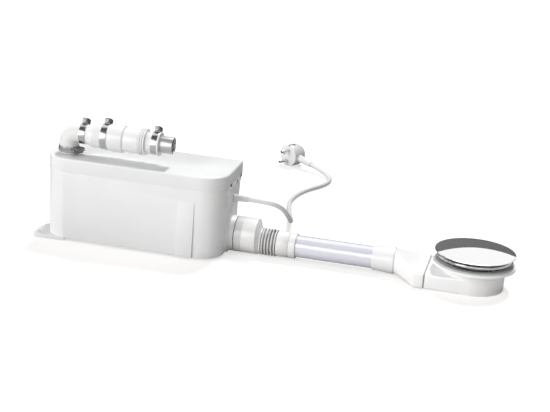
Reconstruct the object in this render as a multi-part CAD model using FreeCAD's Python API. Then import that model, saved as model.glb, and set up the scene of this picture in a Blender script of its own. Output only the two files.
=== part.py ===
import FreeCAD, Part
import math
import os

# The shower sump pump: a lidded tank with a pump inside, an inlet chain along X to a low shower trap,
# a discharge line with a check valve on the lid, and a mains cord with its plug. Millimetres, origin
# on the floor under the middle of the tank, X towards the trap, Y to the back, Z up.

V = FreeCAD.Vector
X_AXIS = V(1, 0, 0)
Y_AXIS = V(0, 1, 0)
Z_AXIS = V(0, 0, 1)

# Clearances shared by everything that fits into something else
running_gap = 0.05
seat_gap = 0.3
thread_gap = 0.1
cut_over = 10.0
cut_through = 60.0
past = 1.0

# Tank and lid
tank_length = 270.0
tank_depth = 116.0
foot_height = 3.0
foot_radius = 9.0
foot_inset = 26.0
foot_inset_x = 48.0
tank_shell_height = 102.0
lid_skirt_height = 20.0
lid_overhang = 1.0
tank_draft = 2.0
wall = 3.0
lid_wall = 3.0
lid_top_wall = 3.5
lid_edge_rounding = 2.5
front_corner = 36.0
back_corner = 4.0
back_step_depth = 14.0
back_step_low = 94.0
back_step_high = 98.0
lip_wall = 2.5
lip_height = 13.0
lip_root = 2.0
lip_shelf = 4.0
front_pad_end_gap = 41.0
front_pad_width = 23.5
front_pad_top_gap = 20.0
front_pad_root = 3.0
front_pad_proud = 0.6
lug_thickness = 5.0
lug_reach = 14.4
lug_hole_radius = 2.6
lug_hole_out = 6.0
lug_hole_in = 14.0
lug_root_out = 9.0
lug_root_in = 12.0
lug_nose_in = 8.0
lug_peak_in = 30.0
lug_run = 52.0
lug_run_slope = 2.0
lug_root_gap = 1.0
lug_nose_gap = 1.0
lug_inlet_clear = 17.0
side_pad_proud = 1.5
side_pad_margin = 5.0
side_pad_top_gap = 1.0
side_pad_back_gap = 2.0
side_neck_half = 24.0
side_neck_top = 66.0
side_pad_wide_low = 88.0
side_pad_wide_rise = 3.0
side_shoulder_front = -20.0
side_pad_front = -26.0
clip_width = 11.0
clip_height = 6.0
clip_proud = 0.6
clip_front_y = -9.6
clip_back_y = 49.6
clip_drop = 0.5
lid_screw_y = 24.7
lid_screw_radius = 3.0
lid_screw_drop = 3.7
lid_screw_slot_width = 1.0
lid_screw_slot_half = 2.0
lid_screw_slot_depth = 1.4

# Inlet chain along X
inlet_y = 12.0
inlet_z = 26.5
pipe_z = 20.3
inlet_collar_length = 7.5
band_radius = 26.0
inlet_groove = 1.5
inlet_seal_radius = 24.5
spigot_radius = 17.0
flow_radius = 14.0
inlet_seal_wall = 3.0
spigot_reach = 13.0
inlet_valve_length = 10.5
reducer_length = 20.5
reducer_cone_length = 5.0
reducer_end_wall = 2.0
shoulder_length = 2.0
shoulder_radius = 19.0
reducer_wall = 4.0
sleeve_groove_count = 5
sleeve_groove_pitch = 4.6
sleeve_rib_radius = 20.0
sleeve_groove_radius = 17.6
sleeve_cuff_radius = 18.5
sleeve_cuff_length = 18.5
pipe_collar_length = 10.0
pipe_collar_radius = 18.7
waste_pipe_radius = 16.0
waste_pipe_wall = 1.6
waste_pipe_shown = 113.0
pipe_insertion = 22.0
cuff_length = 32.0
cuff_small_radius = 17.4
cuff_large_radius = 19.5
adapter_length = 33.0
adapter_round_radius = 17.5
trap_collar_length = 14.0
trap_collar_proud = 1.4
joint_seal_length = 2.0
joint_seal_inset = 0.5

# Shower trap
arm_half_width = 45.0
arm_height = 22.0
trap_wall = 2.5
arm_corner = 3.0
arm_length = 63.5
trap_body_radius = 45.0
trap_body_height = 32.0
trap_flange_radius = 59.0
trap_flange_height = 3.7
gasket_inner_radius = 47.0
gasket_outer_radius = 56.0
gasket_height = 1.8
tray_gap = 5.5
ring_radius = 54.0
ring_height = 4.0
ring_sleeve_wall = 1.6
ring_ledge_depth = 5.0
ring_ledge_height = 2.0
ring_screw_count = 4
ring_screw_radius = 2.2
ring_boss_radius = 4.0
ring_screw_turn = 45.0
ring_screw_depth = 10.0
ring_screw_head_radius = 3.7
ring_screw_head_height = 1.4
cover_radius = 57.5
cover_lift = 3.4
cover_rise = 8.0
cover_wall = 1.4
cover_rim_height = 1.2
cup_radius = 28.0
cup_wall = 1.8
cup_floor_gap = 8.0
cup_rim_height = 2.0
cup_rim_gap = 0.4
cup_post_count = 3
cup_post_radius = 2.5
cup_post_root = 4.0

# Discharge line on the lid
riser_inset = 27.5
discharge_y = -25.0
discharge_rise = 31.0
riser_radius = 11.0
riser_bore = 9.0
riser_stand = 15.0
riser_bend = 18.0
riser_low_z = 27.0
riser_run = 11.0
elbow_radius = 14.0
elbow_bend = 15.0
elbow_foot_gap = 0.8
elbow_run = 13.0
valve_cone_length = 9.0
valve_barrel_radius = 17.0
valve_barrel_length = 26.0
valve_sleeve_length = 24.0
valve_sleeve_radius = 18.0
valve_body_length = 22.5
valve_body_radius = 20.0
valve_body_taper = 1.5
valve_body_small_radius = 18.6
valve_inner_radius = 16.0
union_length = 22.5
union_radius = 18.2
union_ring_count = 3
union_ring_pitch = 3.3
union_ring_width = 2.3
union_ring_radius = 19.4
union_core_radius = 17.8
outlet_sleeve_length = 20.6
outlet_sleeve_radius = 16.0
outlet_lip_length = 2.5
outlet_lip_radius = 17.5
discharge_pipe_radius = 12.3
discharge_pipe_bore = 11.0
discharge_pipe_root_radius = 12.0
discharge_pipe_insertion = 18.0
discharge_pipe_shown = 19.0

# Worm-drive clamps
clamp_width = 9.0
clamp_band = 0.9
clamp_housing_length = 14.0
clamp_housing_height = 7.6
clamp_housing_width = 8.0
clamp_screw_radius = 3.2
clamp_shank_radius = 2.2
clamp_screw_head_length = 4.0
clamp_screw_length = 18.0
riser_clamp_rise = 7.5
elbow_clamp_gap = 0.7
sleeve_clamp_gap = 2.4
clamp_screw_cover = 0.8
clamp_slot_width = 1.0
clamp_slot_depth = 1.2
top_housing_lean = 25.0
riser_housing_turn = -25.0

# Check valve flap and inlet flap
flap_radius = 12.5
flap_thickness = 2.0
flap_boss_height = 1.5
flap_pivot_rise = 13.5
flap_pin_radius = 1.0
flap_knuckle_radius = 1.9
flap_knuckle_width = 6.0
flap_pin_length = 20.0
inlet_flap_radius = 16.5
inlet_flap_pivot_rise = 20.0
inlet_lug_width = 4.0
inlet_lug_length = 6.0
inlet_lug_rise = 3.0

# Pump, motor and switch inside the tank
motor_from_riser = 77.5
motor_y = -8.0
casing_low = 14.0
casing_radius = 38.0
casing_height = 26.0
casing_wall = 3.0
casing_shaft_hole = 8.0
suction_radius = 13.0
suction_cover_height = 3.0
suction_leg_count = 3
suction_leg_radius = 3.0
suction_leg_inset = 5.0
suction_leg_turn = 30.0
outlet_stub_length = 12.0
outlet_stub_wall = 1.8
bracket_height = 7.0
bracket_radius = 36.0
motor_radius = 33.0
motor_height = 50.0
motor_wall = 2.0
stator_outer = 30.6
stator_inner = 15.0
stator_height = 22.0
stator_low = 64.0
winding_height = 7.0
winding_outer = 27.0
winding_inner = 17.5
rotor_radius = 14.4
shaft_radius = 4.0
shaft_low = 20.0
shaft_top = 98.0
bearing_radius = 9.0
bearing_height = 6.0
lower_bearing_z = 50.0
upper_bearing_z = 94.0
shaft_seal_height = 3.5
impeller_radius = 29.0
impeller_hub_radius = 8.0
impeller_hub_rise = 3.0
impeller_plate = 2.5
impeller_height = 12.0
impeller_blade_count = 6
impeller_blade_width = 2.0
impeller_gap = 1.5
chamber_inset = 69.0
chamber_y = -8.0
chamber_radius = 15.0
chamber_wall = 2.0
chamber_low = 10.0
chamber_top = 84.0
switch_length = 22.0
switch_width = 12.0
switch_height = 14.0
switch_post_inset = 2.0
switch_post_half = 1.5
chamber_foot_half = 1.5
chamber_foot_width = 6.0
chamber_foot_grip = 2.0
plunger_radius = 2.5
plunger_length = 6.0
plunger_travel = 1.5
capacitor_from_motor = 58.0
capacitor_inset = 28.0
capacitor_radius = 11.0
capacitor_height = 44.0
capacitor_low = 58.0
stand_tray_height = 4.0
stand_rim = 2.0
stand_post_radius = 4.0

# Cord, gland and plug
cord_radius = 3.5
gland_y = 7.5
gland_z = 82.0
gland_radius = 6.6
gland_flange = 2.0
gland_sleeve_radius = 5.5
gland_nut_radius = 8.5
gland_nut_height = 3.0
relief_length = 20.0
relief_radius = 5.2
relief_end_radius = 4.3
relief_groove_count = 3
relief_groove_width = 1.4
relief_groove_depth = 0.5
relief_plain_end = 6.0
cord_points = [
    (157.5, gland_y, gland_z), (183.0, gland_y, gland_z), (204.0, 25.5, 72.0), (205.0, 88.0, 36.0),
    (198.0, 140.0, 13.0), (186.0, 190.0, cord_radius), (174.0, 236.0, cord_radius),
    (166.0, 284.0, cord_radius), (176.0, 342.0, cord_radius), (208.0, 400.0, cord_radius),
    (202.5, 449.0, 4.8), (161.0, 476.0, 12.2),
]
cord_arc_share = 0.45
plug_radius = 19.0
plug_depth = 20.0
plug_back_radius = 14.0
plug_back_depth = 9.0
plug_exit_depth = 12.0
plug_relief_length = 28.0
plug_relief_radius = 6.5
plug_relief_end_radius = 4.6
pin_radius = 2.4
pin_length = 19.0
pin_pitch = 19.0
pin_root = 8.0
pin_root_radius = 2.0
plug_relief_root = 5.0
earth_hole_radius = 2.6
earth_hole_rise = 10.0
earth_hole_depth = 12.0
earth_clip_width = 6.0
earth_clip_length = 14.0
earth_clip_thickness = 0.8


def box(x0, x1, y0, y1, z0, z1):
    return Part.makeBox(x1 - x0, y1 - y0, z1 - z0, V(x0, y0, z0))


def cyl(radius, start, length, axis=Z_AXIS):
    return Part.makeCylinder(radius, length, start, axis)


def ring(outer, inner, start, length, axis=Z_AXIS):
    return cyl(outer, start, length, axis).cut(cyl(inner, start, length, axis))


def turned(profile, centre, axis=Z_AXIS):
    # Solid of revolution from (along, radius) pairs
    points = [V(radius, 0, along) for along, radius in profile]
    solid = Part.Face(Part.makePolygon(points + points[:1])).revolve(V(0, 0, 0), Z_AXIS, 360)
    solid.Placement = FreeCAD.Placement(centre, FreeCAD.Rotation(Z_AXIS, axis))
    return solid


def prism(points, height):
    # Straight prism over a flat polygon
    return Part.Face(Part.makePolygon(points + points[:1])).extrude(height)


def fused(shapes):
    return shapes[0].multiFuse(shapes[1:]).removeSplitter()


def export(name, shape):
    shape.exportStep("parts/" + name + ".step")


os.makedirs("parts", exist_ok=True)
half_length = tank_length / 2
half_depth = tank_depth / 2
skirt_low = foot_height + tank_shell_height
lid_top = skirt_low + lid_skirt_height
lip_inset = lid_wall + seat_gap
mouth_inset = lip_inset + lip_wall


def plan_wire(inset, z):
    # Tank outline: wide rounded front corners, nearly sharp back corners
    x = half_length - inset
    y = half_depth - inset
    front = front_corner - inset
    corners = [(x, -y, front, -90), (x, y, back_corner, 0), (-x, y, back_corner, 90), (-x, -y, front, 180)]
    edges = []
    last = None
    for corner_x, corner_y, radius, angle in corners:
        centre = V(corner_x - math.copysign(radius, corner_x), corner_y - math.copysign(radius, corner_y), z)
        points = []
        for step in (0, 45, 90):
            turn = math.radians(angle + step)
            points.append(centre + V(math.cos(turn), math.sin(turn), 0) * radius)
        if last:
            edges.append(Part.makeLine(last, points[0]))
        edges.append(Part.Arc(points[0], points[1], points[2]).toShape())
        last = points[2]
    edges.append(Part.makeLine(last, edges[0].Vertexes[0].Point))
    return Part.Wire(edges)


def plan_block(low_inset, low_z, top_inset, top_z):
    return Part.makeLoft([plan_wire(low_inset, low_z), plan_wire(top_inset, top_z)], True, True)


def back_step(shift):
    # The space behind the tank's back wall, under the rim's overhang
    y = half_depth - back_step_depth - shift
    points = [V(-half_length - cut_over, y, -cut_over), V(-half_length - cut_over, y, back_step_low + shift),
              V(-half_length - cut_over, half_depth, back_step_high + shift),
              V(-half_length - cut_over, half_depth + cut_over, back_step_high + shift),
              V(-half_length - cut_over, half_depth + cut_over, -cut_over)]
    return prism(points, V(tank_length + 2 * cut_over, 0, 0))


def lug(side, clip_y):
    # Floor lug at one end, with its screw hole; side 1 is the inlet end
    x = side * half_length
    y_out = side * half_depth
    inner = side * (half_length - front_corner)
    nose = x + side * lug_root_out
    outline = [V(inner, y_out - side * lug_root_gap, 0), V(nose, y_out, 0),
               V(x + side * (lug_reach - lug_nose_gap), y_out - side * lug_nose_in, 0),
               V(x + side * lug_reach, y_out - side * lug_peak_in, 0), V(nose, y_out - side * lug_run, 0),
               V(x - side * lug_root_out, y_out - side * (lug_run + lug_run_slope), 0)]
    plate = prism(outline, V(0, 0, lug_thickness))
    if clip_y:
        keep = box(x - lug_root_in, x + 2 * lug_reach, clip_y, y_out, 0, lug_thickness)
        plate = plate.common(keep)
    hole = V(side * (half_length + lug_hole_out), side * (half_depth - lug_hole_in), -past)
    return plate.cut(cyl(lug_hole_radius, hole, lug_thickness + 2 * past))


# The tank: drafted shell with its rim lip, lugs, front pad, side pad, inlet collar and cord hole
tank = plan_block(lid_overhang + tank_draft, foot_height, lid_overhang, skirt_low)
tank = tank.cut(back_step(0))
front_pad_y = -(half_depth - lid_overhang) - front_pad_proud
front_pad_right = half_length - front_pad_end_gap
front_pad = box(front_pad_right - front_pad_width, front_pad_right, front_pad_y, front_pad_y + front_pad_root,
                foot_height, skirt_low - front_pad_top_gap)
tank = fused([tank, front_pad])
pad_x = half_length - wall
pad_proud = wall - lid_overhang + side_pad_proud
pad_back_y = half_depth - back_step_depth - side_pad_back_gap
pad_top = skirt_low - side_pad_top_gap
side_pad = cyl(band_radius + side_pad_margin, V(pad_x, inlet_y, inlet_z), pad_proud, X_AXIS)
neck_front = inlet_y - side_neck_half
neck_back = inlet_y + side_neck_half
pad_slope_top = side_pad_wide_low + side_pad_wide_rise
neck = [V(pad_x, neck_front, inlet_z), V(pad_x, neck_front, side_neck_top),
        V(pad_x, side_shoulder_front, side_pad_wide_low), V(pad_x, side_pad_front, pad_slope_top),
        V(pad_x, side_pad_front, pad_top), V(pad_x, pad_back_y, pad_top),
        V(pad_x, pad_back_y, side_pad_wide_low),
        V(pad_x, neck_back, side_neck_top), V(pad_x, neck_back, inlet_z)]
side_pad = side_pad.fuse(prism(neck, V(pad_proud, 0, 0)))
side_pad = side_pad.common(box(pad_x, pad_x + pad_proud, -half_depth, pad_back_y, foot_height, pad_top))
collar = cyl(band_radius, V(pad_x, inlet_y, inlet_z), wall + inlet_collar_length, X_AXIS)
lip_block = plan_block(lip_inset, skirt_low - lip_root, lip_inset, skirt_low + lip_height)
tank = fused([tank, side_pad, collar, lip_block, lug(-1, 0), lug(1, inlet_y + lug_inlet_clear)])
shelf_z = skirt_low - lip_shelf
cavity = plan_block(lid_overhang + tank_draft + wall, foot_height + wall, lid_overhang + wall, shelf_z)
cavity = cavity.cut(back_step(wall))
cavity = cavity.fuse(plan_block(mouth_inset, shelf_z - past, mouth_inset, skirt_low + lip_height + past))
inlet_bore = spigot_radius + inlet_seal_wall
tank = tank.cut(cavity)
tank = tank.cut(cyl(inlet_bore, V(half_length - cut_over, inlet_y, inlet_z),
                    2 * cut_over + inlet_collar_length, X_AXIS))
tank = tank.cut(cyl(gland_sleeve_radius + running_gap, V(half_length - cut_over, gland_y, gland_z),
                    2 * cut_over, X_AXIS))
riser_x = riser_inset - half_length
motor_x = riser_x + motor_from_riser
capacitor_axis = V(motor_x + capacitor_from_motor, capacitor_inset - half_depth, 0)
stand_tray = cyl(capacitor_radius + stand_rim, capacitor_axis + V(0, 0, capacitor_low - stand_tray_height),
                 stand_tray_height)
floor_top = foot_height + wall
stand_post = cyl(stand_post_radius, capacitor_axis + V(0, 0, floor_top - past),
                 capacitor_low - stand_tray_height - floor_top + 2 * past)
tank = fused([tank, stand_tray, stand_post])

# Pockets in the inlet end for the two clips that bridge the seam and for the screw just under it
clip_z = skirt_low - clip_drop
screw_centre = V(half_length - lid_wall, lid_screw_y, skirt_low - lid_screw_drop)
pockets = [box(half_length - lid_wall, half_length + side_pad_proud, y - clip_width / 2, y + clip_width / 2,
               clip_z - clip_height / 2, clip_z + clip_height / 2) for y in (clip_front_y, clip_back_y)]
for cutter in pockets + [cyl(lid_screw_radius + thread_gap, screw_centre, cut_over, X_AXIS)]:
    tank = tank.cut(cutter)
export("tank", tank)

# The lid: a cap with a skirt, its riser hole and its half of the clip pockets
lid = plan_block(0, skirt_low, 0, lid_top)
lid = lid.makeFillet(lid_edge_rounding, [e for e in lid.Edges if e.BoundBox.ZMin > lid_top - running_gap])
lid = lid.cut(plan_block(lid_wall, skirt_low - past, lid_wall, lid_top - lid_top_wall))
lid = lid.cut(cyl(riser_radius + running_gap, V(riser_x, discharge_y, skirt_low), cut_through))
export("lid", lid.cut(pockets[0].fuse(pockets[1])))

# Lid seal: a closed rubber band on the rim lip, pressed up against the lid
seal_low = skirt_low + lip_height
seal = plan_block(lip_inset, seal_low, lip_inset, lid_top - lid_top_wall)
seal = seal.cut(plan_block(mouth_inset, seal_low - past, mouth_inset, lid_top))
export("lid_seal", seal)

# Lid clips and the dark side screw
clips = []
for y in (clip_front_y, clip_back_y):
    clips.append(box(half_length - lid_wall, half_length - clip_proud, y - clip_width / 2 + thread_gap,
                     y + clip_width / 2 - thread_gap, clip_z - clip_height / 2 + thread_gap,
                     clip_z + clip_height / 2 - thread_gap))
export("lid_clips", Part.makeCompound(clips))
screw_slot = box(half_length - lid_screw_slot_depth, half_length + side_pad_proud,
                 lid_screw_y - lid_screw_slot_width / 2, lid_screw_y + lid_screw_slot_width / 2,
                 screw_centre.z - lid_screw_slot_half, screw_centre.z + lid_screw_slot_half)
export("lid_screw", cyl(lid_screw_radius, screw_centre, lid_wall, X_AXIS).cut(screw_slot))

# Rubber feet under the tank floor
feet = []
for x in (-half_length + foot_inset_x, half_length - foot_inset_x):
    for y in (-half_depth + foot_inset, half_depth - back_step_depth - foot_inset + wall):
        feet.append(cyl(foot_radius, V(x, y, 0), foot_height))
export("rubber_feet", Part.makeCompound(feet))

# Inlet valve body: the first band outside the collar, with its spigot through the tank wall
valve_x = half_length + inlet_collar_length + inlet_groove
spigot_start = half_length - spigot_reach
inlet_valve = cyl(band_radius, V(valve_x, inlet_y, inlet_z), inlet_valve_length, X_AXIS)
inlet_valve = inlet_valve.fuse(cyl(spigot_radius, V(spigot_start, inlet_y, inlet_z),
                                   valve_x - spigot_start, X_AXIS))
inlet_valve = inlet_valve.cut(cyl(flow_radius, V(spigot_start - past, inlet_y, inlet_z), cut_through, X_AXIS))
pivot_z = inlet_z + inlet_flap_pivot_rise
pivot_x = spigot_start - seat_gap - flap_knuckle_radius
lug_half = inlet_lug_width / 2
lug_foot = inlet_z + flow_radius + past
lug_low = inlet_z + inlet_flap_radius + seat_gap
flap_lugs = []
for sign in (-1, 1):
    lug_y = inlet_y + sign * (flap_knuckle_width / 2 + lug_half + seat_gap)
    flap_lugs.append(box(pivot_x - flap_knuckle_radius, spigot_start + inlet_lug_length, lug_y - lug_half,
                         lug_y + lug_half, lug_low, pivot_z + inlet_lug_rise))
    flap_lugs.append(box(spigot_start, spigot_start + inlet_lug_length, lug_y - lug_half, lug_y + lug_half,
                         lug_foot, lug_low + past))
inlet_valve = fused([inlet_valve] + flap_lugs)
pin_half = flap_knuckle_width / 2 + seat_gap + inlet_lug_width
pin_start = V(pivot_x, inlet_y - pin_half, pivot_z)
inlet_valve = inlet_valve.cut(cyl(flap_pin_radius, pin_start - Y_AXIS * past, 2 * (pin_half + past), Y_AXIS))
export("inlet_valve_body", inlet_valve)
export("inlet_flap_pin", cyl(flap_pin_radius, pin_start, 2 * pin_half, Y_AXIS))

# Inlet seal: rubber sleeve between the spigot and the tank bore, with the dark ring that shows
inlet_seal = ring(inlet_bore, spigot_radius, V(half_length - wall, inlet_y, inlet_z),
                  wall + inlet_collar_length, X_AXIS)
seal_face = ring(inlet_seal_radius, spigot_radius, V(half_length + inlet_collar_length, inlet_y, inlet_z),
                 inlet_groove, X_AXIS)
export("inlet_seal", fused([inlet_seal, seal_face]))


def flap_solid(radius, pivot_rise, seat_side):
    # Flap hanging from a pivot at the origin, with its disc flush with the knuckle on the seat's side
    seat_face = seat_side * flap_knuckle_radius
    back_face = seat_face - seat_side * flap_thickness
    low_x = min(seat_face, back_face)
    disc = cyl(radius, V(low_x, 0, -pivot_rise), flap_thickness, X_AXIS)
    strap_low = -pivot_rise + radius - flap_thickness
    strap = box(low_x, low_x + flap_thickness, -flap_knuckle_width / 2, flap_knuckle_width / 2, strap_low, 0)
    knuckle = cyl(flap_knuckle_radius, V(0, -flap_knuckle_width / 2, 0), flap_knuckle_width, Y_AXIS)
    boss = cyl(radius / 3, V(back_face, 0, -pivot_rise), flap_boss_height, X_AXIS * -seat_side)
    bore = cyl(flap_pin_radius + running_gap, V(0, -flap_knuckle_width, 0), 2 * flap_knuckle_width, Y_AXIS)
    return fused([disc, strap, knuckle, boss]).cut(bore)


# Inlet flap: a disc that hangs inside the tank and shuts against the spigot
inlet_flap = flap_solid(inlet_flap_radius, inlet_flap_pivot_rise, 1)
inlet_flap.translate(V(pivot_x, inlet_y, pivot_z))
export("inlet_flap", inlet_flap)

# Eccentric reducer: the second band, brought down to the pipe size with the low sides in line
reducer_x = valve_x + inlet_valve_length
cone_x = reducer_x + reducer_length
shoulder_x = cone_x + reducer_cone_length
reducer = cyl(band_radius, V(reducer_x, inlet_y, inlet_z), reducer_length, X_AXIS)
cone_wires = [Part.Wire(Part.makeCircle(radius, V(x, inlet_y, z), X_AXIS)) for x, z, radius in
              ((cone_x, inlet_z, band_radius), (shoulder_x, pipe_z, shoulder_radius))]
reducer = fused([reducer, Part.makeLoft(cone_wires, True, True),
                 cyl(shoulder_radius, V(shoulder_x, inlet_y, pipe_z), shoulder_length, X_AXIS)])
reducer = reducer.cut(cyl(flow_radius, V(reducer_x - past, inlet_y, inlet_z),
                          reducer_end_wall + 2 * past, X_AXIS))
reducer = reducer.cut(cyl(band_radius - reducer_wall, V(reducer_x + reducer_end_wall, inlet_y, inlet_z),
                          reducer_length - 2 * reducer_end_wall, X_AXIS))
reducer = reducer.cut(cyl(flow_radius, V(cone_x - reducer_end_wall - past, inlet_y, pipe_z),
                          cut_through, X_AXIS))
export("eccentric_reducer", reducer)

# Ribbed rubber sleeve: turned ribs as one ruled loft, then a plain cuff
sleeve_x = shoulder_x + shoulder_length
rib_circles = []
rib_x = sleeve_x
for index in range(sleeve_groove_count):
    low_share = sleeve_groove_pitch / 4
    for offset, radius in ((0, sleeve_groove_radius), (low_share, sleeve_groove_radius),
                           (1.6 * low_share, sleeve_rib_radius), (3.4 * low_share, sleeve_rib_radius)):
        rib_circles.append((rib_x + offset, radius))
    rib_x = rib_x + sleeve_groove_pitch
rib_circles.append((rib_x, sleeve_groove_radius))
rib_wires = [Part.Wire(Part.makeCircle(radius, V(x, inlet_y, pipe_z), X_AXIS)) for x, radius in rib_circles]
cuff_x = rib_x
sleeve = Part.makeLoft(rib_wires, True, True)
sleeve = sleeve.fuse(cyl(sleeve_cuff_radius, V(cuff_x, inlet_y, pipe_z), sleeve_cuff_length, X_AXIS))
collar_x = cuff_x + sleeve_cuff_length
pipe_start = collar_x + pipe_collar_length - pipe_insertion
sleeve = sleeve.cut(cyl(flow_radius, V(sleeve_x - past, inlet_y, pipe_z), cut_through, X_AXIS))
sleeve = sleeve.cut(cyl(waste_pipe_radius, V(pipe_start, inlet_y, pipe_z), cut_through, X_AXIS))
export("ribbed_sleeve", sleeve)
export("pipe_collar", ring(pipe_collar_radius, waste_pipe_radius, V(collar_x, inlet_y, pipe_z),
                           pipe_collar_length, X_AXIS))

# Waste pipe: clear tube pushed into the sleeve at one end and the cuff at the other
pipe_shown_x = collar_x + pipe_collar_length
pipe_cuff_x = pipe_shown_x + waste_pipe_shown
pipe_end = pipe_cuff_x + pipe_insertion
export("waste_pipe", ring(waste_pipe_radius, waste_pipe_radius - waste_pipe_wall,
                          V(pipe_start, inlet_y, pipe_z), pipe_end - pipe_start, X_AXIS))
adapter_x = pipe_cuff_x + cuff_length
pipe_bore = waste_pipe_radius - waste_pipe_wall
cuff_profile = [(0, waste_pipe_radius), (pipe_insertion, waste_pipe_radius), (pipe_insertion, pipe_bore),
                (cuff_length, pipe_bore), (cuff_length, cuff_large_radius), (0, cuff_small_radius)]
export("pipe_cuff", turned(cuff_profile, V(pipe_cuff_x, inlet_y, pipe_z), X_AXIS))


def duct_wire(x, centre_z, half_y, half_z, corner):
    # Rounded rectangle in eight edges; a negative corner gives the circle of radius half_y instead
    edges = []
    last = None
    for index in range(4):
        if corner < 0:
            turns = [90 * index + share for share in (15, 45, 75)]
            centre_y = inlet_y
            mid_z = centre_z
            radius = half_y
        else:
            turns = [90 * index + share for share in (0, 45, 90)]
            side_y = 1 if index in (0, 3) else -1
            side_z = 1 if index in (0, 1) else -1
            centre_y = inlet_y + side_y * (half_y - corner)
            mid_z = centre_z + side_z * (half_z - corner)
            radius = corner
        points = [V(x, centre_y + radius * math.cos(math.radians(turn)),
                    mid_z + radius * math.sin(math.radians(turn))) for turn in turns]
        if last:
            edges.append(join_edge(last, points[0], corner, x, centre_z, half_y, 90 * index))
        edges.append(Part.Arc(points[0], points[1], points[2]).toShape())
        last = points[2]
    edges.append(join_edge(last, edges[0].Vertexes[0].Point, corner, x, centre_z, half_y, 0))
    return Part.Wire(edges)


def join_edge(start, end, corner, x, centre_z, radius, turn):
    if corner > 0:
        return Part.makeLine(start, end)
    angle = math.radians(turn)
    middle = V(x, inlet_y + radius * math.cos(angle), centre_z + radius * math.sin(angle))
    return Part.Arc(start, middle, end).toShape()


# Trap adapter: from the round cuff to the flat arm, hollow all through
trap_collar_x = adapter_x + adapter_length
arm_z = arm_height / 2
adapter = Part.makeLoft([duct_wire(adapter_x, pipe_z, adapter_round_radius, adapter_round_radius, -1),
                         duct_wire(trap_collar_x, arm_z, arm_half_width, arm_z, arm_corner)], True, True)
inner_radius = adapter_round_radius - trap_wall
adapter_bore = Part.makeLoft([duct_wire(adapter_x - running_gap, pipe_z, inner_radius, inner_radius, -1),
                              duct_wire(trap_collar_x + running_gap, arm_z, arm_half_width - trap_wall,
                                        arm_z - trap_wall, arm_corner / 2)], True, True)
export("trap_adapter", adapter.cut(adapter_bore))


def duct_block(x, length, proud, corner):
    # Straight run of the flat duct's section, standing on z = 0 whatever its size
    half_z = arm_z + proud / 2
    return Part.Face(duct_wire(x, half_z, arm_half_width + proud, half_z, corner)).extrude(X_AXIS * length)


def duct_bore(x, length):
    return Part.Face(duct_wire(x, arm_z, arm_half_width - trap_wall, arm_z - trap_wall,
                               arm_corner / 2)).extrude(V(length, 0, 0))


trap_seal_x = trap_collar_x + trap_collar_length
arm_x = trap_seal_x + joint_seal_length
export("trap_collar", duct_block(trap_collar_x, trap_collar_length, trap_collar_proud, arm_corner).cut(
    duct_bore(trap_collar_x - past, trap_collar_length + 2 * past)))
seal_inner = duct_bore(trap_seal_x - past, joint_seal_length + 2 * past)
joint_seal = Part.Face(duct_wire(trap_seal_x, arm_z, arm_half_width - joint_seal_inset,
                                 arm_z - joint_seal_inset, arm_corner)).extrude(X_AXIS * joint_seal_length)
joint_seal = joint_seal.cut(seal_inner)
export("joint_seal", joint_seal)

# Trap body: the flat arm, the round bowl, its flange and four inner screw bosses in one moulding
trap_centre = V(arm_x + arm_length, inlet_y, 0)
arm = duct_block(arm_x, arm_length, 0, arm_corner)
flange_low = trap_body_height
flange_top = trap_body_height + trap_flange_height
bowl = cyl(trap_body_radius, trap_centre, trap_body_height)
flange = cyl(trap_flange_radius, trap_centre + V(0, 0, flange_low), trap_flange_height)
bowl_bore = trap_body_radius - trap_wall
sleeve_outer = bowl_bore - 2 * (ring_screw_radius + seat_gap)
sleeve_inner = sleeve_outer - ring_sleeve_wall
ring_screw_circle = bowl_bore - ring_screw_radius - seat_gap
trap = fused([arm, bowl, flange])
trap = trap.cut(cyl(bowl_bore, trap_centre + V(0, 0, trap_wall), flange_top))
trap = trap.cut(duct_bore(arm_x - past, arm_length + past))
gasket_low = flange_top
gasket_top = gasket_low + gasket_height
ring_low = gasket_top + tray_gap
ring_top = ring_low + ring_height
ledge_low = gasket_low - ring_ledge_height
screw_low = flange_low - ring_screw_depth
screw_spots = []
for index in range(ring_screw_count):
    turn = math.radians(ring_screw_turn + 360 * index / ring_screw_count)
    screw_spots.append(trap_centre + V(math.cos(turn), math.sin(turn), 0) * ring_screw_circle)
boss_low = screw_low - trap_wall
for spot in screw_spots:
    trap = trap.fuse(cyl(ring_boss_radius, spot + V(0, 0, boss_low), ledge_low - seat_gap - boss_low))
trap = trap.removeSplitter()
for spot in screw_spots:
    trap = trap.cut(cyl(ring_screw_radius + thread_gap, spot + V(0, 0, screw_low), cut_through))
export("trap_body", trap)
export("flange_gasket", ring(gasket_outer_radius, gasket_inner_radius, trap_centre + V(0, 0, gasket_low),
                             gasket_height))

# Waste ring: the metal ring that clamps the tray, its inner sleeve and the ledge that carries the cup
waste_ring = fused([ring(ring_radius, sleeve_inner, trap_centre + V(0, 0, ring_low), ring_height),
                    ring(sleeve_outer, sleeve_inner, trap_centre + V(0, 0, ledge_low), ring_top - ledge_low),
                    ring(sleeve_outer, sleeve_inner - ring_ledge_depth, trap_centre + V(0, 0, ledge_low),
                         ring_ledge_height)])
for spot in screw_spots:
    waste_ring = waste_ring.cut(cyl(ring_screw_radius + thread_gap, spot + V(0, 0, gasket_low), cut_through))
export("waste_ring", waste_ring)
ring_screws = []
for spot in screw_spots:
    shank = cyl(ring_screw_radius, spot + V(0, 0, screw_low), ring_top - screw_low)
    head = cyl(ring_screw_head_radius, spot + V(0, 0, ring_top), ring_screw_head_height)
    ring_screws.append(fused([shank, head]))
export("ring_screws", Part.makeCompound(ring_screws))

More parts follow.
